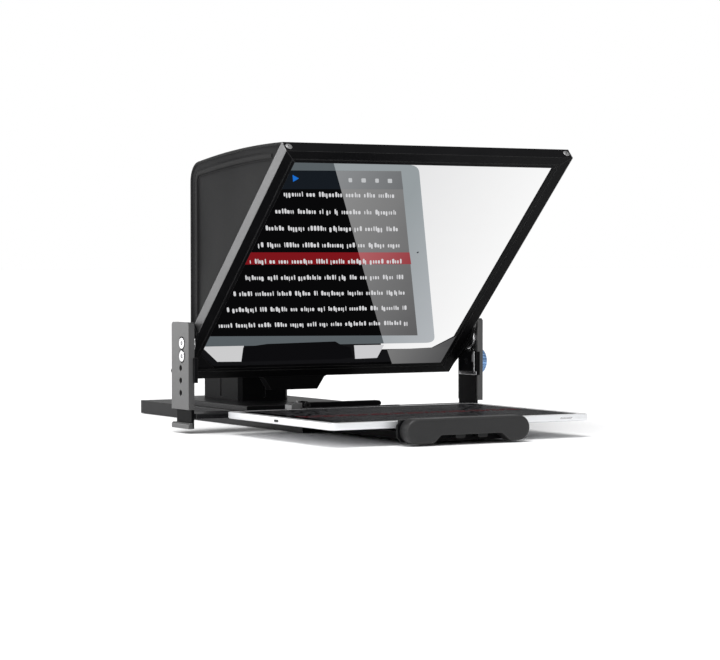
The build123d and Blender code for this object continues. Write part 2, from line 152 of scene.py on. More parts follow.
class Wire:
    # a node's output that takes part in sums
    def __init__(self, finish, socket):
        self.finish = finish
        self.socket = socket

    def maths(self, operation, first, second):
        return self.finish.node("ShaderNodeMath", {"operation": operation}, {0: first, 1: second})

    def __add__(self, other):
        return self.maths("ADD", self, other)

    def __sub__(self, other):
        return self.maths("SUBTRACT", self, other)

    def __mul__(self, other):
        return self.maths("MULTIPLY", self, other)

    def __truediv__(self, other):
        return self.maths("DIVIDE", self, other)

    def __pow__(self, other):
        return self.maths("POWER", self, other)

    def __radd__(self, other):
        return self.maths("ADD", other, self)

    def __rsub__(self, other):
        return self.maths("SUBTRACT", other, self)

    def __rmul__(self, other):
        return self.maths("MULTIPLY", other, self)

    def __rtruediv__(self, other):
        return self.maths("DIVIDE", other, self)

    def clamped(self):
        return self.maths("MAXIMUM", self.maths("MINIMUM", self, 1.0), 0.0)


class Finish:
    # one material, with its shader and the nodes that feed it
    def __init__(self, name, sockets):
        self.material = bpy.data.materials.new(name)
        self.material.use_nodes = True
        self.tree = self.material.node_tree
        self.shader = self.tree.nodes["Principled BSDF"]
        for key, value in sockets.items():
            self.shader.inputs[key].default_value = value

    def node(self, kind, settings=None, sockets=None, out=0):
        made = self.tree.nodes.new(kind)
        for key, value in (settings or {}).items():
            setattr(made, key, value)
        for key, value in (sockets or {}).items():
            self.feed(made.inputs[key], value)
        return Wire(self, made.outputs[out])

    def feed(self, socket, value):
        if isinstance(value, Wire):
            self.tree.links.new(value.socket, socket)
        else:
            socket.default_value = value

    def set(self, **wires):
        for key, value in wires.items():
            self.feed(self.shader.inputs[key.replace("_", " ")], value)

    def place(self, scale=(1, 1, 1), source="Object"):
        coordinates = self.node("ShaderNodeTexCoord", out=source)
        return self.node("ShaderNodeMapping", None, {"Vector": coordinates, "Scale": scale})

    def axis(self, vector, name):
        return self.node("ShaderNodeSeparateXYZ", None, {0: vector}, out=name)

    def speckle(self, size, detail=3.0, stretch=(1, 1, 1), rough=0.55, source="Object"):
        # soft random variation from 0 to 1, about size metres across
        sockets = {"Vector": self.place(stretch, source), "Scale": 1 / size, "Detail": detail}
        return self.node("ShaderNodeTexNoise", None, {**sockets, "Roughness": rough})

    def blend(self, factor, first, second):
        return self.node(
            "ShaderNodeMix", {"data_type": "RGBA"}, {0: factor, 6: first, 7: second}, out=2
        )

    def softEdge(self, radius):
        return self.node("ShaderNodeBevel", {"samples": 6}, {"Radius": radius})

    def edgeMask(self, soft, gain):
        # 1 along edges and 0 on flat stretches
        true = self.node("ShaderNodeNewGeometry", out="Normal")
        settings = {"operation": "DOT_PRODUCT"}
        level = self.node("ShaderNodeVectorMath", settings, {0: soft, 1: true}, out="Value")
        return ((1 - level) * gain).clamped()

    def relief(self, height, depth, strength=1.0, base=None):
        sockets = {"Height": height, "Distance": depth, "Strength": strength}
        if base:
            sockets["Normal"] = base
        return self.node("ShaderNodeBump", None, sockets)


def grey(level):
    return (level, level, level, 1)


def metal(name, look):
    # an anodised, blasted, brushed or polished metal, its edges lighter in colour: part wear, part painted edge
    # highlight
    sockets = {"Metallic": look["metallic"], "Specular IOR Level": look.get("specular", 0.5)}
    finish = Finish(name, sockets)
    stretch = look.get("stretch", (1, 1, 1))
    cloud = finish.speckle(look["cloud"], 3.0)
    grain = finish.speckle(look["grain"], 2.0, stretch)
    soft = finish.softEdge(look["edge"])
    # lighter colour along the edges: part wear, part painted edge highlight
    edgeWearAndHighlight = finish.edgeMask(soft, look["edgeWearAndHighlightGain"]) * (0.55 + cloud * 0.6)
    base = finish.blend(cloud, look["dark"], look["light"])
    tone = finish.blend((edgeWearAndHighlight * look["edgeWearAndHighlightShare"]).clamped(), base, look["edgeWearAndHighlight"])
    if "sparkle" in look:
        sparkle = (grain - 0.5) * look["sparkle"]
        tone = finish.blend((0.5 + sparkle).clamped(), finish.blend(0.35, tone, grey(0)), tone)
    finish.set(
        Base_Color=tone,
        Roughness=(look["rough"] + (grain - 0.5) * look["roughSpread"] + (cloud - 0.5) * 0.08).clamped(),
        Normal=finish.relief(grain, look["depth"], 0.6, soft),
    )
    return finish.material


def moulded(name, look):
    # plastic or rubber with a fine texture, its edges lighter in colour: part wear, part painted edge highlight
    finish = Finish(name, {"Specular IOR Level": look["specular"], "Coat Roughness": 0.12})
    sockets = {"Vector": finish.place(), "Scale": 1 / look["grain"]}
    pores = finish.node("ShaderNodeTexVoronoi", {"feature": "SMOOTH_F1"}, sockets)
    cloud = finish.speckle(look["cloud"], 4.0)
    soft = finish.softEdge(look["edge"])
    # lighter colour along the edges: part wear, part painted edge highlight
    edgeWearAndHighlight = (finish.edgeMask(soft, 6.0) * look["edgeWearAndHighlightShare"]).clamped()
    base = finish.blend(cloud, look["dark"], look["light"])
    finish.set(
        Base_Color=finish.blend(edgeWearAndHighlight, base, look["edgeWearAndHighlight"]),
        Roughness=(look["rough"] + (cloud - 0.5) * look["roughSpread"]).clamped(),
        Normal=finish.relief(pores, look["depth"], 0.5, soft),
    )
    return finish.material


# each finish's edge colour, with its share and gain, lightens the edges: part wear, part painted edge highlight
finishes = {
    "blackMetal": {"metallic": 0.0, "specular": 0.03, "dark": (0.003, 0.003, 0.0035, 1),
        "light": (0.007, 0.007, 0.0075, 1), "cloud": 0.05, "grain": 0.0007, "edge": 0.0007, "edgeWearAndHighlightShare": 0.6,
        "edgeWearAndHighlightGain": 5.0, "edgeWearAndHighlight": grey(0.10), "rough": 0.36, "roughSpread": 0.16, "depth": 0.00005},
    "baseMetal": {"metallic": 0.0, "specular": 0.1, "dark": (0.006, 0.006, 0.0065, 1),
        "light": (0.010, 0.010, 0.011, 1), "cloud": 0.06, "grain": 0.0007, "edge": 0.0007, "edgeWearAndHighlightShare": 0.6,
        "edgeWearAndHighlightGain": 5.0, "edgeWearAndHighlight": grey(0.16), "rough": 0.30, "roughSpread": 0.14, "depth": 0.00004},
    "postMetal": {"metallic": 0.0, "specular": 1.0, "dark": (0.026, 0.026, 0.0265, 1),
        "light": (0.038, 0.038, 0.0385, 1), "cloud": 0.05, "grain": 0.0006, "edge": 0.0008, "edgeWearAndHighlightShare": 0.6,
        "edgeWearAndHighlightGain": 5.0, "edgeWearAndHighlight": grey(0.22), "rough": 0.44, "roughSpread": 0.12, "depth": 0.00004},
    "satinGrey": {"metallic": 0.5, "specular": 0.5, "dark": (0.16, 0.16, 0.162, 1),
        "light": (0.24, 0.24, 0.242, 1), "cloud": 0.02, "grain": 0.0006, "edge": 0.0005, "edgeWearAndHighlightShare": 0.6,
        "edgeWearAndHighlightGain": 5.0, "edgeWearAndHighlight": grey(0.6), "rough": 0.40, "roughSpread": 0.16, "depth": 0.00004},
    "bareMetal": {"metallic": 0.9, "dark": (0.11, 0.11, 0.112, 1), "light": (0.18, 0.18, 0.182, 1),
        "cloud": 0.03, "grain": 0.0015, "edge": 0.0005, "edgeWearAndHighlightShare": 0.6, "edgeWearAndHighlightGain": 4.0, "edgeWearAndHighlight": grey(0.7),
        "rough": 0.46, "roughSpread": 0.3, "depth": 0.00006, "sparkle": 1.8},
    "steel": {"metallic": 1.0, "dark": (0.60, 0.60, 0.61, 1), "light": (0.78, 0.78, 0.79, 1),
        "cloud": 0.01, "grain": 0.0004, "edge": 0.0004, "edgeWearAndHighlightShare": 0.3, "edgeWearAndHighlightGain": 4.0,
        "edgeWearAndHighlight": grey(0.95), "rough": 0.24, "roughSpread": 0.12, "depth": 0.00002},
    "chrome": {"metallic": 1.0, "dark": (0.82, 0.82, 0.84, 1), "light": (0.92, 0.92, 0.93, 1),
        "cloud": 0.02, "grain": 0.0006, "edge": 0.0004, "edgeWearAndHighlightShare": 0.2, "edgeWearAndHighlightGain": 4.0, "edgeWearAndHighlight": grey(1.0),
        "rough": 0.09, "roughSpread": 0.06, "depth": 0.00001},
    "blueMetal": {"metallic": 0.85, "dark": (0.14, 0.30, 0.58, 1), "light": (0.30, 0.47, 0.76, 1),
        "cloud": 0.01, "grain": 0.0004, "edge": 0.0004, "edgeWearAndHighlightShare": 0.8, "edgeWearAndHighlightGain": 5.0,
        "edgeWearAndHighlight": (0.62, 0.76, 0.95, 1), "rough": 0.26, "roughSpread": 0.1, "depth": 0.00002},
    "tabletShell": {"metallic": 0.55, "dark": (0.74, 0.75, 0.77, 1), "light": (0.86, 0.87, 0.88, 1),
        "cloud": 0.06, "grain": 0.0003, "edge": 0.0005, "edgeWearAndHighlightShare": 0.5, "edgeWearAndHighlightGain": 4.0,
        "edgeWearAndHighlight": grey(0.95), "rough": 0.36, "roughSpread": 0.08, "depth": 0.00001},
}
mouldings = {
    "clipSkin": {"specular": 0.35, "dark": (0.012, 0.012, 0.0125, 1),
        "light": (0.020, 0.020, 0.0205, 1), "cloud": 0.03, "grain": 0.0006, "edge": 0.0012, "edgeWearAndHighlightShare": 0.3,
        "edgeWearAndHighlight": grey(0.10), "rough": 0.46, "roughSpread": 0.16, "depth": 0.00006},
    "hardBlack": {"specular": 0.25, "dark": (0.006, 0.006, 0.0065, 1),
        "light": (0.011, 0.011, 0.0115, 1), "cloud": 0.03, "grain": 0.0008, "edge": 0.0005, "edgeWearAndHighlightShare": 0.4,
        "edgeWearAndHighlight": grey(0.09), "rough": 0.4, "roughSpread": 0.15, "depth": 0.00005},
    "rubberBlack": {"specular": 0.22, "dark": (0.012, 0.012, 0.012, 1),
        "light": (0.022, 0.022, 0.022, 1), "cloud": 0.02, "grain": 0.0012, "edge": 0.0006, "edgeWearAndHighlightShare": 0.25,
        "edgeWearAndHighlight": grey(0.06), "rough": 0.75, "roughSpread": 0.15, "depth": 0.0001},
    "tabletBezel": {"specular": 0.6, "dark": (0.80, 0.80, 0.81, 1), "light": (0.88, 0.88, 0.89, 1),
        "cloud": 0.08, "grain": 0.0008, "edge": 0.0003, "edgeWearAndHighlightShare": 0.2, "edgeWearAndHighlight": grey(0.95), "rough": 0.12,
        "roughSpread": 0.05, "depth": 0.000004},
}
made = {name: metal(name, look) for name, look in finishes.items()}
made.update({name: moulded(name, look) for name, look in mouldings.items()})


def screenGlass():
    # black glass with a faint film of fingerprints
    finish = Finish("screenGlass", {"Base Color": (0.002, 0.002, 0.0025, 1), "Specular IOR Level": 0.005})
    smear = finish.speckle(0.035, 5.0, (1, 2.2, 1), 0.65)
    finish.set(Roughness=(0.22 + (smear ** 3.0) * 0.5).clamped())
    return finish.material


def silveredGlass():
    # half-silvered glass, with a slightly uneven coating
    finish = Finish("silveredGlass", {"Metallic": 1.0, "Specular IOR Level": 0.5})
    drift = finish.speckle(0.12, 3.0)
    finish.set(
        Base_Color=finish.blend(drift, (0.66, 0.69, 0.71, 1), (0.74, 0.77, 0.79, 1)),
        Roughness=(0.03 + drift * 0.03).clamped(),
    )
    return finish.material


made["screenGlass"] = screenGlass()
made["silveredGlass"] = silveredGlass()

nodeFinish = {
    "black_metal": "blackMetal", "grey_metal": "bareMetal", "steel": "steel", "bright_chrome": "chrome",
    "blue_metal": "blueMetal", "rubber": "rubberBlack", "black_plastic": "hardBlack",
    "soft_plastic": "clipSkin", "mirror_glass": "silveredGlass", "tablet_silver": "tabletShell",
    "tablet_white": "tabletBezel", "tablet_black": "screenGlass", "hood_cloth": "rubberBlack",
}
ownFinish = {
    "left_post": "postMetal", "right_post": "postMetal", "left_foot": "postMetal",
    "base_plate": "baseMetal", "base_housing": "baseMetal", "base_end_cap": "baseMetal",
    "cross_bar": "baseMetal", "carriage_plate": "baseMetal", "lever_block": "satinGrey",
    "lever_screw": "hardBlack",
}
for part in frame["record"]["subparts"]:
    finishName = ownFinish.get(part["node"], nodeFinish[part["material_slot"]])
    piece = nodes[part["node"]]
    piece.data.materials.clear()
    piece.data.materials.append(made[finishName])
print("finishes", len(made))


mirror = {"tilt": 43.8, "width": 0.340, "length": 0.336, "thick": 0.0125, "pivotUp": 0.055,
          "pivotBack": 0.002, "glassBack": 0.0041}
tiltJoint = next(j for j in frame["joints"] if j["name"] == "mirror_tilt")
upSlope = Vector((0, -cos(radians(mirror["tilt"])), sin(radians(mirror["tilt"]))))
facing = Vector((0, -sin(radians(mirror["tilt"])), -cos(radians(mirror["tilt"]))))
mirrorCentre = Vector(tiltJoint["pos_m"]) + upSlope * (mirror["length"] / 2 - mirror["pivotUp"])
mirrorCentre = mirrorCentre + facing * mirror["pivotBack"]
backPlane = mirrorCentre - facing * mirror["thick"]


def onMirror(lift):
    # the frame's front plane as a matrix, moved towards the talent by lift
    rows = Matrix((Vector((1, 0, 0)), upSlope, facing)).transposed().to_4x4()
    return Matrix.Translation(mirrorCentre + facing * lift) @ rows


def glowFinish(name, near, far=None, line=None):
    # a glowing colour: on the glass a painted reflection, on the tablet the screen's own script; with a line, its
    # two ends along x, it drifts from near to far
    sockets = {"Base Color": grey(0), "Specular IOR Level": 0.0, "Roughness": 0.9, "Emission Strength": 1.0}
    finish = Finish(name, sockets)
    grain = (finish.speckle(0.02, 4.0) - 0.5) * 0.10
    first, second = near, far or near
    if line:
        spot = finish.place()
        run = finish.axis(spot, "X")
        share = ((run - line[0]) / (line[1] - line[0])).clamped()
        tone = finish.blend((share + grain).clamped(), first, second)
    else:
        dim = tuple(c * 0.9 for c in first[:3]) + (1,)
        tone = finish.blend((0.7 + grain * 2).clamped(), dim, first)
    finish.set(Emission_Color=tone)
    return finish.material


def linear(r, g, b):
    # a screen colour of 0 to 255 in the renderer's light
    parts = (c / 255 for c in (r, g, b))
    return tuple(((c + 0.055) / 1.055) ** 2.4 if c > 10 / 255 else c / 12.92 for c in parts) + (1,)


# the painted reflection's layout on the glass and its painted sheen's edge; the tablet's script shares the mark
# sizes and seed
picture = {
    "step": 0.00006,
    "paintedSheenTop": (-109.7, 152.0), "paintedSheenLow": (68.9, -123.2),
    "rows": 9, "rowTop": 105.0, "rowLow": -89.0,
    "rightTop": -18.5, "rightLow": 84.1, "left": -151.0,
    "xHeight": 4.9, "tall": 7.0, "drop": 1.9, "letter": (1.0, 2.9), "gap": 1.15, "space": 4.4,
    "word": (2, 9), "seed": 7, "upright": -0.46, "markRound": 0.28, "markThick": 0.04, "markLayer": 11,
}


def pane(name, corners, layer, material, round=0.0):
    # a flat pane of the painted reflection: a plane bisected to its outline, rounded and given a thickness
    deselect()
    xs = [c[0] for c in corners]
    ys = [c[1] for c in corners]
    centre = ((min(xs) + max(xs)) / 2 * mm, (min(ys) + max(ys)) / 2 * mm, 0)
    bpy.ops.mesh.primitive_plane_add(size=1, location=centre)
    piece = started(name)
    piece.scale = ((max(xs) - min(xs) + 4) * mm, (max(ys) - min(ys) + 4) * mm, 1)
    settled(piece)
    middle = Vector((sum(xs) / len(xs), sum(ys) / len(ys), 0)) * mm
    editing(piece)
    for a, b in zip(corners, corners[1:] + corners[:1]):
        start = Vector((*a, 0)) * mm
        across = Vector((b[1] - a[1], a[0] - b[0], 0)).normalized()
        if across.dot(middle - start) > 0:
            across = -across
        everything()
        bpy.ops.mesh.bisect(plane_co=start, plane_no=across, clear_outer=True)
    if round:
        everything()
        bpy.ops.mesh.bevel(offset=round * mm, segments=6, affect="VERTICES")
    everything()
    push(picture["step"] * 0.7)
    facedOut()
    settled(piece, onMirror(layer * picture["step"] - mirror["glassBack"]))
    return dressed(piece, material, "mirror")


def rounded(corners, chosen, radius):
    # the outline with each chosen corner drawn as a curve
    out = []
    for index, corner in enumerate(corners):
        if index not in chosen:
            out.append(corner)
            continue
        spot = Vector(corner)
        before, after = Vector(corners[index - 1]), Vector(corners[(index + 1) % len(corners)])
        start = spot + (before - spot).normalized() * radius
        end = spot + (after - spot).normalized() * radius
        for step in range(7):
            t = step / 6
            out.append(tuple(start * (1 - t) ** 2 + spot * 2 * t * (1 - t) + end * t * t))
    return out


def lean(points, line):
    # the part of a convex outline on one side of the painted sheen's edge
    (ax, ay), (bx, by) = line
    side = lambda p: (bx - ax) * (p[1] - ay) - (by - ay) * (p[0] - ax)
    kept = []
    for p, q in zip(points, points[1:] + points[:1]):
        if side(p) >= 0:
            kept.append(p)
        if side(p) * side(q) < 0:
            share = side(p) / (side(p) - side(q))
            kept.append((p[0] + (q[0] - p[0]) * share, p[1] + (q[1] - p[1]) * share))
    return kept


# the edge of a painted sheen across the glass, beyond which the painted reflection is brighter
paintedSheenEdge = (picture["paintedSheenTop"], picture["paintedSheenLow"])
# each pane of the painted reflection: outline in mm on the glass, layer, near and far colour, and corner radius
seen = {
    "field": ([(-154.6, 152.6), (154.6, 152.6), (154.6, -152.6), (-154.6, -152.6)], 1,
        linear(20, 20, 22), None, 0),
    "pale": ([(-40, 152.4), (154.4, 152.4), (154.4, -112), (132.6, -131.5), (68, -131.5)], 2,
        linear(226, 226, 227), linear(248, 248, 248), 0),
    "shell": (rounded([(-154.3, 148.7), (-8.7, 149.1), (134.6, -122.3), (-154.3, -121)], (1, 2), 12), 3,
        linear(90, 97, 101), None, 0),
    "screen": ([(-154.2, 138.0), (-25.5, 140.2), (105.9, -109.4), (-154.2, -105.0)], 5,
        linear(9, 9, 10), None, 0),
    "header": ([(-154.2, 137.6), (-25.6, 139.8), (-11.9, 114.8), (-154.2, 112.2)], 6,
        linear(23, 28, 34), None, 0),
    "band": ([(-154.2, 21.9), (36.8, 22.2), (46.9, 4.4), (-154.2, 4.1)], 8, linear(126, 22, 28),
        None, 0),
    "patchLeft": ([(-154.3, -121), (-154.2, -122.7), (-128.3, -145.7), (-99.3, -146.3), (-105.7, -121)],
        6, linear(206, 206, 207), None, 0),
    "patchRight": ([(31, -123.8), (69.2, -124), (69.5, -145.4), (41.8, -146.2)], 6,
        linear(205, 205, 207), None, 0),
    "tray": ([(-105.7, -123.3), (-78.6, -118.5), (4.2, -116.6), (14.1, -122.5), (24, -146),
        (-99.3, -146.3)], 9, linear(13, 13, 15), None, 0),
    "traySide": ([(4.2, -122.4), (14.1, -122.5), (27.3, -126.9), (38.1, -143.6), (20, -146)], 10,
        linear(13, 13, 15), None, 0),
    "ledge": ([(74, -129), (90.6, -152.4), (154.4, -152.4), (154.4, -125.6)], 57, linear(122, 122, 122),
        linear(84, 84, 85), 0),
    "ledgeEnd": ([(132.6, -126.6), (154.4, -108.6), (154.4, -125.7)], 57, linear(93, 93, 94),
        linear(80, 80, 81), 0),
}
# the parts of four panes that the painted sheen brightens: layer, near and far colour, the drift's ends
paintedSheen = {
    "shell": (4, linear(150, 157, 160), linear(178, 182, 186), (0.0, 0.13)),
    "screen": (7, linear(142, 142, 142), linear(96, 96, 97), (-0.10, 0.10)),
    "header": (8, linear(138, 140, 142), linear(110, 112, 114), (-0.10, -0.01)),
    "band": (9, linear(178, 100, 104), linear(150, 60, 66), (-0.03, 0.05)),
}
# the screen's icons, painted as reflections on the glass
marks = {
    "play": [(-145.6, 132.4), (-145.6, 122.8), (-138.6, 127.6)], "playRound": 0.6,
    "icons": (-79.3, -63.8, -48.1, -32.9), "iconHalf": (2.1, 2.6), "iconTop": 129.4, "iconLow": 123.6,
    "iconRound": 1.2, "dot": (47.0, 22.3), "dotRadius": 1.3,
}


def upright(points):
    # the points leaned over so that they stand straight from the front left
    middle = sum(p[1] for p in points) / len(points)
    return [(x + picture["upright"] * (y - middle), y) for x, y in points]


# paints the reflection of the tablet, its screen and the floor on the glass as glowing panes, brighter beyond the
# painted sheen's edge
def paintReflectionPanes():
    for name, (corners, layer, near, far, round) in seen.items():
        xs = [c[0] * mm for c in corners]
        ends = (min(xs), max(xs)) if far else None
        glow = glowFinish("seen" + name[0].upper() + name[1:], near, far, ends)
        pane("seen_" + name, corners, layer, glow, round)
    # brighter copies of four panes beyond the painted sheen's edge
    for name, (layer, near, far, spread) in paintedSheen.items():
        glow = glowFinish(f"seen{name.capitalize()}PaintedSheen", near, far, spread)
        pane(f"seen_{name}_painted_sheen", lean(seen[name][0], paintedSheenEdge), layer, glow)
    play = glowFinish("seenPlay", linear(30, 110, 205))
    pane("seen_play_mark", upright(marks["play"]), 10, play, marks["playRound"])
    iconFinish = glowFinish("seenIcon", linear(196, 198, 200))
    top, low = marks["iconTop"], marks["iconLow"]
    for index, x in enumerate(marks["icons"]):
        half = marks["iconHalf"][index % 2]
        icon = [(x - half, top), (x + half, top), (x + half, low), (x - half, low)]
        pane(f"seen_icon_{index + 1}", upright(icon), 10, iconFinish, marks["iconRound"])
    (x, y), radius = marks["dot"], marks["dotRadius"]
    ball = [(x + radius * cos(a * pi / 4), y + radius * sin(a * pi / 4)) for a in range(8)]
    pane("seen_lens_dot", ball, 9, glowFinish("seenDot", linear(60, 64, 70)))


def scriptMarks(name, rows, spell, place, body, material):
    # rows of small rounded blocks in place of words
    # spell gives a row's height and ends, and place gives a block's matrix
    deselect()
    bpy.ops.mesh.primitive_plane_add(size=1, location=(0, 0, 0))
    block = started(name)
    editing(block)
    everything()
    bpy.ops.mesh.bevel(offset=picture["markRound"], segments=2, affect="VERTICES")
    everything()
    push(picture["markThick"] * mm)
    facedOut()
    dice = random.Random(picture["seed"])
    copies = []
    for row in range(rows):
        height, left, right = spell(row)
        x = right
        wordLeft = dice.randint(*picture["word"])
        while x > left + 4:
            wide = dice.uniform(*picture["letter"])
            kind = dice.random()
            low = -picture["drop"] if kind > 0.88 else 0
            high = picture["tall"] if kind < 0.3 else picture["xHeight"]
            copy = block.copy()
            copy.data = block.data.copy()
            up = height + (low + high) / 2 - picture["xHeight"] / 2
            middle = Matrix.Translation((x - wide / 2, up, 0))
            copy.data.transform(place(middle, wide, high - low))
            scene.collection.objects.link(copy)
            copies.append(copy)
            x -= wide + picture["gap"]
            wordLeft -= 1
            if wordLeft == 0:
                x -= picture["space"] - picture["gap"]
                wordLeft = dice.randint(*picture["word"])
    deselect()
    bpy.data.objects.remove(block)
    for copy in copies:
        copy.select_set(True)
    bpy.context.view_layer.objects.active = copies[0]
    bpy.ops.object.join()
    piece = started(name)
    settled(piece)
    return dressed(piece, material, body)


# a row of the script's painted reflection on the glass
def pictureRow(row):
    share = row / (picture["rows"] - 1)
    height = picture["rowTop"] + (picture["rowLow"] - picture["rowTop"]) * share
    right = picture["rightTop"] + (picture["rightLow"] - picture["rightTop"]) * share
    return height, picture["left"], right


def pictureBlock(middle, wide, tall):
    leaned = Matrix.Identity(4)
    leaned[0][1] = picture["upright"]
    flat = middle @ leaned @ Matrix.Diagonal((wide, tall, 1, 1))
    size = Matrix.Diagonal((mm, mm, 1, 1))
    return onMirror(picture["markLayer"] * picture["step"] - mirror["glassBack"]) @ size @ flat


paintReflectionPanes()
# the screen's script as a painted reflection on the glass, in glowing marks
scriptMarks("seen_script", picture["rows"], pictureRow, pictureBlock, "mirror",
            glowFinish("seenScript", linear(214, 214, 216)))
print("mirror picture")


tablet = {"rows": 16, "margin": 12.0, "pitch": 12.0, "redRows": (7, 8), "port": (9.0, 2.6),
          "button": (15.0, 1.5), "buttonAt": 0.122, "buttonDeep": 0.12, "slotRound": 0.48,
          "slotRim": 0.25, "slotThick": 0.08, "lens": 1.6, "lensIn": 6.0, "lensHigh": 0.1}
shellLow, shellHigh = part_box("tablet_shell")
displayLow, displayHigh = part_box("tablet_display")


def tabletRow(row):
    high = displayHigh.y / mm - tablet["margin"] - row * tablet["pitch"]
    return high, displayLow.x / mm + tablet["margin"], displayHigh.x / mm - tablet["margin"]


def tabletBlock(middle, wide, tall):
    flat = middle @ Matrix.Diagonal((wide, tall, 1, 1))
    return Matrix.Translation((0, 0, displayHigh.z + 0.05 * mm)) @ Matrix.Diagonal((mm, mm, 1, 1)) @ flat


def edgeSlot(name, middle, size, deep, axis):
    # a slot with rounded ends in an edge of the tablet, as an inset pane
    deselect()
    bpy.ops.mesh.primitive_plane_add(size=1, location=(0, 0, 0))
    piece = started(name)
    piece.scale = (size[0] * mm, size[1] * mm, 1)
    settled(piece)
    editing(piece)
    everything()
    bpy.ops.mesh.bevel(offset=min(size) * tablet["slotRound"] * mm, segments=5, affect="VERTICES")
    everything()
    bpy.ops.mesh.inset(thickness=tablet["slotRim"] * mm, depth=0)
    push(-deep * mm)
    edited()
    modified(piece, "SOLIDIFY", thickness=tablet["slotThick"] * mm, offset=-1)
    turn = Matrix.Rotation(pi / 2, 4, "X")
    if axis == "x":
        turn = Matrix.Rotation(-pi / 2, 4, "Z") @ turn
    settled(piece, Matrix.Translation(middle) @ turn)
    return piece


def tabletDetails():
    middleZ = (shellLow.z + shellHigh.z) / 2
    middleY = (shellLow.y + shellHigh.y) / 2
    port = edgeSlot("tablet_port", (shellLow.x - 0.1 * mm, middleY, middleZ), tablet["port"], -0.05, "x")
    dressed(port, made["hardBlack"], "tablet")
    spot = (tablet["buttonAt"], shellLow.y - 0.15 * mm, middleZ)
    button = edgeSlot("tablet_button", spot, tablet["button"], tablet["buttonDeep"], "y")
    dressed(button, made["steel"], "tablet")
    deselect()
    high = tablet["lensHigh"] * mm
    spot = (shellHigh.x - tablet["lensIn"] * mm, middleY, shellHigh.z + high / 2)
    bpy.ops.mesh.primitive_cylinder_add(radius=tablet["lens"] * mm, depth=high, vertices=32, location=spot)
    eye = started("tablet_camera")
    settled(eye)
    editing(eye)
    pick(eye, upwards)
    bpy.ops.mesh.inset(thickness=0.5 * mm, depth=-0.04 * mm)
    bpy.ops.mesh.inset(thickness=0.4 * mm, depth=-0.03 * mm)
    edited()
    dressed(eye, made["screenGlass"], "tablet")


def tabletRedRow(row):
    high, left, right = tabletRow(tablet["redRows"][row])
    return high - tablet["pitch"] / 2, left, right


tabletDetails()
scriptMarks("tablet_script", tablet["rows"], tabletRow, tabletBlock, "tablet",
            glowFinish("tabletScript", linear(72, 72, 74)))
scriptMarks("tablet_script_red", len(tablet["redRows"]), tabletRedRow, tabletBlock, "tablet",
            glowFinish("tabletScriptRed", linear(90, 20, 27)))
print("tablet")


knob = {"flutes": 20, "flute": 0.9, "fluteShare": 0.26, "lip": 0.12, "round": 1.3, "cap": 2.2, "dish": 0.7,
        "stud": 3.2, "head": {"z": 11.8, "x": 12.7}, "smooth": 35}
screw = {"radius": 1.6, "high": 0.5, "round": 0.25, "socket": 0.8, "deep": 0.3, "in": 5.0}
studCap = {"radius": 3.1, "thick": 0.4, "rim": 1.4, "dish": 0.2}
collarSill = {"x": (0.17235, 0.1728), "y": (-0.0475, -0.0125), "z": (0.0526, 0.0566),
              "round": 0.15 * mm}


def flutedKnob(name, node, body, axis):
    # the CAD knob's head with flutes round it and a dished cap, on its own plain stud
    low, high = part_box(node)
    middle = (low + high) / 2
    span = high - low
    length = knob["head"][axis] * mm
    radius = (span.x if axis == "z" else span.y) / 2
    start = (high.z if axis == "z" else high.x) - length
    deselect()
    bpy.ops.mesh.primitive_cylinder_add(radius=radius, depth=length, vertices=knob["flutes"] * 4,
                                        location=(0, 0, length / 2))
    piece = started(name)
    settled(piece)
    editing(piece)

    def inFlute(centre, normal):
        turn = atan2(centre.y, centre.x) / (2 * pi) * knob["flutes"]
        return abs(normal.z) < 0.1 and abs(turn - round(turn)) < knob["fluteShare"]

    pick(piece, upwards)
    bpy.ops.mesh.bevel(offset=knob["round"] * mm, segments=4, affect="EDGES")
    pick(piece, lambda centre, normal: normal.z > 0.9 and centre.z > length * 0.99)
    bpy.ops.mesh.inset(thickness=knob["cap"] * mm, depth=-knob["dish"] * mm)
    bpy.ops.mesh.inset(thickness=knob["cap"] * mm, depth=knob["dish"] * 0.6 * mm)
    pick(piece, inFlute)
    bpy.ops.mesh.inset(thickness=knob["lip"] * mm, depth=-knob["flute"] * mm)
    pick(piece, lambda centre, normal: normal.z < -0.9)
    bpy.ops.mesh.inset(thickness=radius - knob["stud"] * mm, depth=0)
    push(-(span[2 if axis == "z" else 0] - length))
    edited()
    turn = Matrix.Identity(4) if axis == "z" else Matrix.Rotation(pi / 2, 4, "Y")
    place = (middle.x, middle.y, start) if axis == "z" else (start, middle.y, middle.z)
    settled(piece, Matrix.Translation(place) @ turn)
    only(piece)
    bpy.ops.object.shade_smooth_by_angle(angle=radians(knob["smooth"]))
    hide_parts(node)
    return dressed(piece, made["hardBlack"], body)


def socketScrew(name, matrix):
    # a small button-head screw with a hexagon socket
    deselect()
    bpy.ops.mesh.primitive_cylinder_add(radius=screw["radius"] * mm, depth=screw["high"] * mm, vertices=36,
                                        location=(0, 0, screw["high"] / 2 * mm))
    piece = started(name)
    settled(piece)
    editing(piece)
    pick(piece, upwards)
    bpy.ops.mesh.bevel(offset=screw["round"] * mm, segments=3, affect="EDGES")
    pick(piece, lambda centre, normal: normal.z > 0.9 and centre.z > screw["high"] * 0.9 * mm)
    bpy.ops.mesh.inset(thickness=(screw["radius"] - screw["round"] - screw["socket"]) * mm, depth=0)
    bpy.ops.mesh.inset(thickness=0.05 * mm, depth=-screw["deep"] * mm)
    edited()
    settled(piece, matrix)
    only(piece)
    bpy.ops.object.shade_smooth_by_angle(angle=radians(knob["smooth"]))
    return dressed(piece, made["satinGrey"], "mirror")


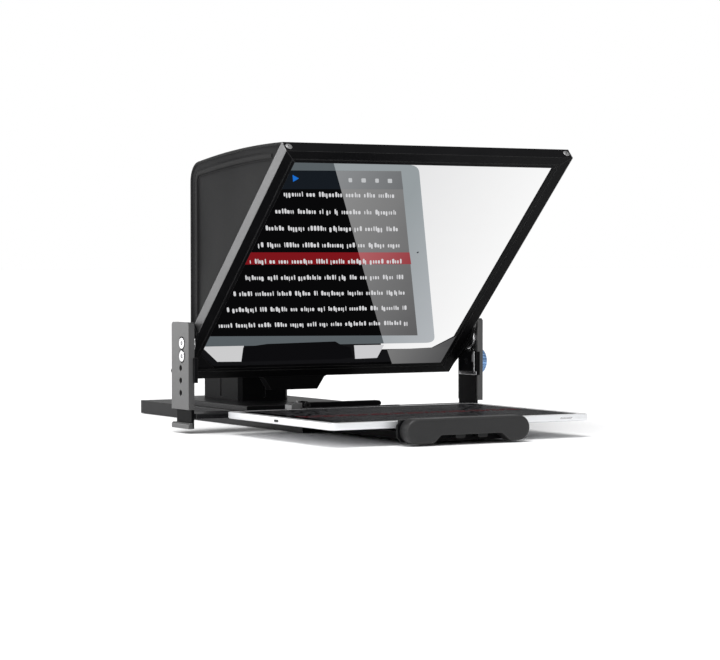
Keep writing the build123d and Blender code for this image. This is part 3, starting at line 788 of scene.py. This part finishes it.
def knobsAndScrews():
    flutedKnob("carriage_knob_fluted", "carriage_knob", "carriage_screw", "z")
    flutedKnob("riser_knob_fluted", "riser_knob", "riser_screw", "x")
    edge = mirror["length"] / 2
    for side, s in (("left", -1), ("right", 1)):
        spot = mirrorCentre + upSlope * edge - facing * mirror["thick"] / 2
        spot.x = s * (mirror["width"] / 2 - screw["in"] * mm)
        straight = Vector((0, 0, 1)).rotation_difference(upSlope).to_matrix().to_4x4()
        socketScrew(f"{side}_corner_screw", Matrix.Translation(spot) @ straight)


def collarDetails():
    # a bright sill under the right collar, and a dark cap on the lock knob's inner end
    deselect()
    low, high = (Vector([collarSill[axis][k] for axis in "xyz"]) for k in (0, 1))
    bpy.ops.mesh.primitive_cube_add(size=1, location=(low + high) / 2)
    sill = started("right_collar_sill")
    sill.scale = high - low
    settled(sill)
    editing(sill)
    pick(sill, lambda centre, normal: normal.x < -0.9)
    bpy.ops.mesh.bevel(offset=collarSill["round"], segments=2, affect="EDGES")
    edited()
    dressed(sill, made["chrome"], "posts")
    knobLow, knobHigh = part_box("lock_knob")
    middle = (knobLow + knobHigh) / 2
    deselect()
    bpy.ops.mesh.primitive_cylinder_add(
        radius=studCap["radius"] * mm, depth=studCap["thick"] * mm, vertices=40, rotation=(0, -pi / 2, 0),
        location=(knobLow.x - studCap["thick"] / 2 * mm, middle.y, middle.z),
    )
    cap = started("lock_stud_cap")
    settled(cap)
    editing(cap)
    pick(cap, lambda centre, normal: normal.x < -0.9)
    bpy.ops.mesh.inset(thickness=studCap["rim"] * mm, depth=0)
    bpy.ops.mesh.inset(thickness=0.05 * mm, depth=-studCap["dish"] * mm)
    edited()
    dressed(cap, made["blackMetal"], "knob")


knobsAndScrews()
collarDetails()
print("knobs and screws")


hood = {
    "corner": (18.0, 19.5), "rearTop": 32.4, "shoulder": 12.9, "wall": 1.1, "sag": 2.6, "crease": 0.35,
    "piping": 1.7, "weltIn": 11.0, "weltWide": 2.4, "weltThick": 0.8, "lens": 57.0, "sleeveEnd": 50.5,
    "gathers": 26, "pucker": 1.3, "belly": 1.2, "seam": 1.3, "hem": 2.0, "sideReach": 0.985,
    "topReach": 0.992, "weltReach": 0.93, "stitchReach": 0.92, "inside": 1.0, "stitchIn": 4.2,
    "stitch": 2.6, "stitchGap": 1.3, "stitchHigh": 0.35, "points": 90,
}
hoodLow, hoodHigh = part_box("hood")
sleeveLow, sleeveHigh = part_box("lens_sleeve")
lensZ = (sleeveLow.z + sleeveHigh.z) / 2
hoodRear = hoodHigh.y
hoodTip = hoodLow.y
crown = hoodHigh.z


def clothFinish(name, thread, dark, light, ribs=False):
    # woven cloth: two sets of threads, lint and a faint sheen
    finish = Finish(name, {"Specular IOR Level": 0.12, "Sheen Weight": 0.03, "Sheen Roughness": 0.5})
    spot = finish.place((1, 1, 1), "UV")
    along = finish.axis(spot, "X") * (2 * pi / thread)
    across = finish.axis(spot, "Y") * (2 * pi / thread)
    warp = finish.node("ShaderNodeMath", {"operation": "SINE"}, {0: along})
    weft = finish.node("ShaderNodeMath", {"operation": "SINE"}, {0: across})
    weave = (warp * 0.5 + 0.5) * 0.5 + (weft * 0.5 + 0.5) * 0.5 if not ribs else warp * 0.5 + 0.5
    lint = finish.speckle(0.0011, 3.0, source="UV")
    cloud = finish.speckle(0.05, 3.0, source="UV")
    share = (weave * 0.45 + lint * 0.45 + cloud * 0.3).clamped()
    finish.set(
        Base_Color=finish.blend(share, dark, light),
        Roughness=(0.78 + (lint - 0.5) * 0.25).clamped(),
        Normal=finish.relief(weave * 0.7 + lint * 0.5, 0.00022, 0.7),
    )
    return finish.material


hoodCloth = clothFinish("hoodCloth", 0.0011, (0.004, 0.004, 0.0045, 1), (0.018, 0.018, 0.0185, 1))
bindingCloth = clothFinish("bindingCloth", 0.0009, grey(0.004), (0.026, 0.026, 0.0265, 1), True)


def frameBackZ(y):
    # height of the frame's back plane at one y
    tilt = radians(mirror["tilt"])
    return backPlane.z - (y - backPlane.y) * sin(tilt) / cos(tilt)


def outlineAt(share):
    # a point (y, z) of the hood's outline, from the low rear end (0) over the corner to the tip (1)
    cornerY, cornerZ = hood["corner"][0] * mm, hood["corner"][1] * mm
    rearTop = crown - hood["rearTop"] * mm
    lowEnd = frameBackZ(hoodRear) + 0.5 * mm
    straight = rearTop - lowEnd
    bend = pi / 2 * (cornerY + cornerZ) / 2
    front = hoodRear - cornerY - hoodTip
    run = share * (straight + bend + front)
    if run < straight:
        return hoodRear, lowEnd + run
    if run < straight + bend:
        turn = (run - straight) / bend * pi / 2
        return hoodRear - cornerY * (1 - cos(turn)), rearTop + cornerZ * sin(turn)
    part = (run - straight - bend) / front
    return hoodRear - cornerY - part * front, crown - hood["shoulder"] * mm * (1 - part * (2 - part))


def outlineLength():
    spots = [outlineAt(i / 200) for i in range(201)]
    return sum(sqrt((b[0] - a[0]) ** 2 + (b[1] - a[1]) ** 2) for a, b in zip(spots, spots[1:]))


def sheetOf(name, columns, rows, place, closed=False):
    # a sheet of cloth from a place(u, v), which gives a point and its flat place in metres
    mesh = bpy.data.meshes.new(name)
    count = columns + (0 if closed else 1)
    spots = [[place(i / columns, j / rows) for j in range(rows + 1)] for i in range(count)]
    flat = [p for column in spots for p, _ in column]
    faces = []
    for i in range(count if closed else count - 1):
        k = (i + 1) % count
        for j in range(rows):
            here, there = i * (rows + 1) + j, k * (rows + 1) + j
            faces.append((here, there, there + 1, here + 1))
    mesh.from_pydata(flat, [], faces)
    layer = mesh.uv_layers.new(name="flat")
    uvs = [uv for column in spots for _, uv in column]
    wide = place(1.0, 0.0)[1][0]
    for face in mesh.polygons:
        for loop in face.loop_indices:
            vertex = mesh.loops[loop].vertex_index
            u, v = uvs[vertex]
            last = max(mesh.loops[k].vertex_index for k in face.loop_indices)
            if closed and vertex < rows + 1 and last >= (count - 1) * (rows + 1):
                u = wide
            layer.data[loop].uv = (u, v)
    return linked(name, mesh)


def clothed(piece, away, thick):
    # turns the faces to the side that away points to, then gives the cloth its thickness inwards
    only(piece)
    middle = sum((f.normal for f in piece.data.polygons), Vector())
    if away is not None and middle.dot(away) < 0:
        piece.data.flip_normals()
    modified(piece, "SOLIDIFY", thickness=thick, offset=-1)
    for face in piece.data.polygons:
        face.use_smooth = True
    return dressed(piece, hoodCloth, "mirror")


def ripple(x, y, size, depth):
    return noise.noise(Vector((x / size, y / size, 0.37))) * depth


def sidePanel(side, s):
    def place(u, v):
        y, z = outlineAt(u * hood["sideReach"])
        low = Vector((0, y, z))
        # the opposite edge runs along the frame's back plane
        start = Vector((0, hoodRear, frameBackZ(hoodRear) + 0.5 * mm))
        end = Vector((0, hoodTip, frameBackZ(hoodTip) + 0.5 * mm))
        base = start.lerp(end, u * hood["sideReach"])
        spot = base.lerp(low, v)
        inward = hood["sag"] * mm * sin(pi * v) * sin(pi * min(1, u * 1.1)) ** 0.7
        x = hoodHigh.x - 0.4 * mm - inward + ripple(spot.y, spot.z, 0.045, hood["crease"] * mm * 2)
        return (s * x, spot.y, spot.z), (spot.y - hoodTip, spot.z - hoodLow.z)

    piece = sheetOf(f"hood_side_{side}", 96, 36, place)
    return clothed(piece, Vector((s, 0, 0)), hood["wall"] * mm)


def topPanel():
    straight = (crown - hood["rearTop"] * mm - frameBackZ(hoodRear) - 0.5 * mm) / outlineLength()
    half = hoodHigh.x - hood["inside"] * mm

    def place(u, v):
        share = straight + (hood["topReach"] - straight) * v
        y, z = outlineAt(share)
        x = -half + 2 * half * u
        bow = sin(pi * u)
        fold = ripple(x, y, 0.06, hood["crease"] * mm * 2) * bow
        drop = hood["sag"] * mm * bow * sin(pi * min(1, v * 1.15)) - fold
        return (x, y, z - drop - 0.3 * mm), (x + half, v * (1 - straight) * outlineLength())

    piece = sheetOf("hood_top", 72, 48, place)
    return clothed(piece, Vector((0, 0, 1)), hood["wall"] * mm)


def backPanel():
    # a rectangle of cloth with a round opening for the lens
    half = hoodHigh.x - hood["inside"] * mm
    low = frameBackZ(hoodRear) + 0.6 * mm
    high = crown - hood["rearTop"] * mm
    corners = [(half, low), (half, high), (-half, high), (-half, low)]
    rim = []
    for (ax, az), (bx, bz) in zip(corners, corners[1:] + corners[:1]):
        steps = 36 if ax != bx else 20
        rim += [(ax + (bx - ax) * k / steps, az + (bz - az) * k / steps) for k in range(steps)]

    def place(u, v):
        x, z = rim[int(round(u * len(rim))) % len(rim)]
        angle = atan2(z - lensZ, x)
        inner = (hood["lens"] * mm * cos(angle), lensZ + hood["lens"] * mm * sin(angle))
        px, pz = inner[0] + (x - inner[0]) * v, inner[1] + (z - inner[1]) * v
        fold = ripple(px, pz, 0.05, hood["crease"] * mm * 2) * sin(pi * v)
        sink = hood["sag"] * 0.6 * mm * sin(pi * v) - fold
        return (px, hoodRear - 0.3 * mm - sink, pz), (px + half, pz - low)

    piece = sheetOf("hood_back", len(rim), 14, place, closed=True)
    return clothed(piece, Vector((0, 1, 0)), hood["wall"] * mm)


def lensSleeve():
    start = sleeveLow.y
    length = sleeveHigh.y - start - 2.0 * mm
    wide = 2 * pi * (hood["lens"] + 1) * mm

    def place(u, v):
        angle = 2 * pi * u
        radius = (hood["lens"] + 1 + (hood["sleeveEnd"] - hood["lens"] - 1) * v) * mm
        radius += hood["pucker"] * mm * v * v * cos(hood["gathers"] * angle + 0.6 * sin(3 * angle))
        radius += hood["belly"] * mm * sin(pi * v)
        radius += ripple(angle * 0.05, v * 0.05, 0.02, 0.5 * mm) * sin(pi * v)
        spot = (radius * cos(angle), start + length * v, lensZ + radius * sin(angle))
        return spot, (wide * u, length * v)

    piece = sheetOf("lens_sleeve_cloth", 208, 16, place, closed=True)
    probe = piece.data.polygons[0]
    outward = Vector((probe.center.x, 0, probe.center.z - lensZ))
    if probe.normal.dot(outward) < 0:
        piece.data.flip_normals()
    return clothed(piece, None, hood["wall"] * mm)


def edgeTube(name, points, wide, thick, material, closed=False):
    # a piping or welt that follows the points, as a curve made a mesh
    curve = bpy.data.curves.new(name, "CURVE")
    curve.dimensions = "3D"
    curve.bevel_depth = wide
    curve.bevel_resolution = 3
    curve.use_fill_caps = True
    spline = curve.splines.new("POLY")
    spline.points.add(len(points) - 1)
    for point, place in zip(spline.points, points):
        point.co = (*place, 1)
    spline.use_cyclic_u = closed
    piece = linked(name, curve)
    only(piece)
    bpy.ops.object.convert(target="MESH")
    piece = bpy.context.object
    piece.name = name
    if thick:
        middle = points[0][0]
        for vertex in piece.data.vertices:
            vertex.co.x = middle + (vertex.co.x - middle) * thick / wide
    layer = piece.data.uv_layers[0] if piece.data.uv_layers else piece.data.uv_layers.new(name="flat")
    for face in piece.data.polygons:
        face.use_smooth = True
        for loop in face.loop_indices:
            spot = piece.data.vertices[piece.data.loops[loop].vertex_index].co
            layer.data[loop].uv = (spot.y + spot.z, spot.x + spot.z)
    return dressed(piece, material, "mirror")


def insetOutline(gap, end):
    # the outline moved inwards by gap, from the low rear end to near the tip
    count = hood["points"]
    spots = [Vector((0, *outlineAt(end * i / count))) for i in range(count + 1)]
    moved = []
    for i, spot in enumerate(spots):
        run = spots[min(i + 1, count)] - spots[max(i - 1, 0)]
        inward = Vector((0, -run.z, run.y)).normalized()
        if inward.y > 0.2 or (abs(inward.y) < 0.2 and inward.z > 0):
            inward = -inward
        moved.append(spot + inward * gap)
    return [p for p in moved if p.z > frameBackZ(p.y) + 2.0 * mm]


def besides(points, x):
    return [Vector((x, p.y, p.z)) for p in points]


def stitches(name, points, x, s):
    # a row of short stitches that lie on the cloth along the points
    long, gap = hood["stitch"] * mm, hood["stitchGap"] * mm
    run = 0.0
    due = 0.0
    outline = ((-0.5, 0), (-0.3, 0.28), (0.3, 0.28), (0.5, 0), (0.3, -0.28), (-0.3, -0.28))
    mesh = bpy.data.meshes.new(name)
    verts, faces = [], []
    for a, b in zip(points, points[1:]):
        step = (b - a).length
        while due < run + step:
            spot = a.lerp(b, (due - run) / step)
            ahead = (b - a).normalized()
            side = Vector((0, -ahead.z, ahead.y))
            base = len(verts)
            for out, tight in ((0, 1.0), (hood["stitchHigh"] * mm, 0.6)):
                for e, w in outline:
                    p = spot + ahead * long * e * (0.85 + 0.15 * tight) + side * w * mm * tight * 1.3
                    verts.append((s * (x + out), p.y, p.z))
            faces.append([base + 6 + k for k in range(6)])
            faces.append([base + 5 - k for k in range(6)])
            for k in range(6):
                faces.append([base + k, base + (k + 1) % 6, base + 6 + (k + 1) % 6, base + 6 + k])
            due += long + gap
        run += step
    mesh.from_pydata(verts, [], faces)
    mesh.uv_layers.new(name="flat")
    piece = linked(name, mesh)
    editing(piece)
    facedOut()
    return dressed(piece, bindingCloth, "mirror")


def ring(count, radius, y, wave=0.0):
    spots = []
    for i in range(count):
        angle = 2 * pi * i / count
        r = radius + wave * cos(hood["gathers"] * angle)
        spots.append(Vector((r * cos(angle), y, lensZ + r * sin(angle))))
    return spots


def makeHood():
    trims = []
    sheets = {}
    for side, s in (("left", -1), ("right", 1)):
        sheets[side] = sidePanel(side, s)
        edge = hoodHigh.x
        outer = besides(insetOutline(0.2 * mm, hood["sideReach"]), s * (edge - 0.6 * mm))
        inner = insetOutline(hood["weltIn"] * mm, hood["weltReach"])
        welt = besides(inner, s * (edge - 0.5 * mm))
        trims.append(edgeTube(f"hood_piping_{side}", outer, hood["piping"] * mm, None, bindingCloth))
        trims.append(edgeTube(f"hood_welt_{side}", welt, hood["weltWide"] * mm, hood["weltThick"] * mm,
                              bindingCloth))
        for row, out in (("outer", -1), ("inner", 1)):
            line = insetOutline((hood["weltIn"] + out * hood["stitchIn"]) * mm, hood["stitchReach"])
            trims.append(stitches(f"hood_stitches_{side}_{row}", line, edge - 0.7 * mm, s))
    sheets["top"] = topPanel()
    sheets["back"] = backPanel()
    sheets["sleeve"] = lensSleeve()
    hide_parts("hood")
    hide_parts("lens_sleeve")
    seam = ring(120, (hood["lens"] + 1) * mm, sleeveLow.y + 0.5 * mm)
    trims.append(edgeTube("lens_seam", seam, hood["seam"] * mm, None, bindingCloth, True))
    hem = ring(160, hood["sleeveEnd"] * mm, sleeveHigh.y - 2.2 * mm, 0.8 * mm)
    trims.append(edgeTube("lens_hem", hem, hood["hem"] * mm, None, bindingCloth, True))
    for piece in [*sheets.values(), *trims]:
        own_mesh(piece)
    return sheets


hoodSheets = makeHood()


def flatFacts():
    tall = outlineLength()
    span = 2 * (hoodHigh.x - hood["inside"] * mm)
    rearHigh = crown - hood["rearTop"] * mm - frameBackZ(hoodRear) - 0.6 * mm
    opening = pi * (hood["lens"] * mm) ** 2
    span * rearHigh - opening
    for side in ("left", "right"):
        sideArea()


def sideArea():
    # the flat area between the outline and the frame's back plane
    spots = [outlineAt(i / 100) for i in range(101)]
    loop = spots + [(hoodTip, frameBackZ(hoodTip)), (hoodRear, frameBackZ(hoodRear))]
    total = 0.0
    for (ay, az), (by, bz) in zip(loop, loop[1:] + loop[:1]):
        total += ay * bz - by * az
    return abs(total) / 2


flatFacts()
print("hood")


studio = {"floor": 60.0, "floorDrop": 0.0006, "sky": 0.40, "seenSky": 1.0, "sun": 3.0, "sunAngle": 45,
          "sunAt": (-0.6, -0.3, 2.0), "camera": (-1.33535, -2.35328, 0.1823), "azimuth": 30.5,
          "pitch": 1.66, "lens": 124.1}
lamps = {
    "left": {"at": (-2.6, -0.9, 1.0), "aim": (0, -0.1, 0.12), "size": (1.2, 1.2), "watts": 26},
    "leftRear": {"at": (-1.7, 2.6, 0.7), "aim": (0, -0.05, 0.12), "size": (1.5, 1.1), "watts": 24},
    "front": {"at": (0.9, -2.4, 1.9), "aim": (0, -0.15, 0.12), "size": (1.2, 0.8), "watts": 10},
}


def aimed(piece, at, aim):
    piece.location = at
    piece.rotation_euler = (Vector(aim) - Vector(at)).to_track_quat("-Z", "Y").to_euler()


def makeStudio():
    deselect()
    bpy.ops.mesh.primitive_plane_add(size=studio["floor"], location=(0, 0, -studio["floorDrop"]))
    floor = started("floor")
    finish = Finish("paleFloor", {"Specular IOR Level": 0.1})
    cloud = finish.speckle(0.6, 3.0)
    finish.set(
        Base_Color=finish.blend(cloud, (0.84, 0.84, 0.845, 1), (0.87, 0.87, 0.872, 1)),
        Roughness=(0.75 + cloud * 0.1).clamped(),
    )
    floor.data.materials.append(finish.material)
    world = bpy.data.worlds.new("studio")
    scene.world = world
    world.use_nodes = True
    tree = world.node_tree
    backdrop = tree.nodes["Background"]
    backdrop.inputs["Color"].default_value = (1, 1, 1, 1)
    rays = tree.nodes.new("ShaderNodeLightPath")
    strength = tree.nodes.new("ShaderNodeMapRange")
    tree.links.new(rays.outputs["Is Camera Ray"], strength.inputs["Value"])
    strength.inputs["To Min"].default_value = studio["sky"]
    strength.inputs["To Max"].default_value = studio["seenSky"]
    tree.links.new(strength.outputs["Result"], backdrop.inputs["Strength"])
    sun = bpy.data.lights.new("sun", "SUN")
    sun.energy = studio["sun"]
    sun.angle = radians(studio["sunAngle"])
    aimed(linked("sun", sun), studio["sunAt"], (0, 0, 0))
    for name, lamp in lamps.items():
        light = bpy.data.lights.new(name, "AREA")
        light.shape = "RECTANGLE"
        light.size, light.size_y = lamp["size"]
        light.energy = lamp["watts"]
        aimed(linked(name, light), lamp["at"], lamp["aim"])
    camera = bpy.data.cameras.new("camera")
    camera.lens = studio["lens"]
    camera.sensor_width = 36
    camera.clip_end = 100
    eye = linked("camera", camera)
    a, p = radians(studio["azimuth"]), radians(studio["pitch"])
    ahead = Vector((sin(a) * cos(p), cos(a) * cos(p), -sin(p)))
    aimed(eye, studio["camera"], tuple(Vector(studio["camera"]) + ahead))
    scene.camera = eye
    scene.view_settings.view_transform = "Standard"


makeStudio()
print("studio")
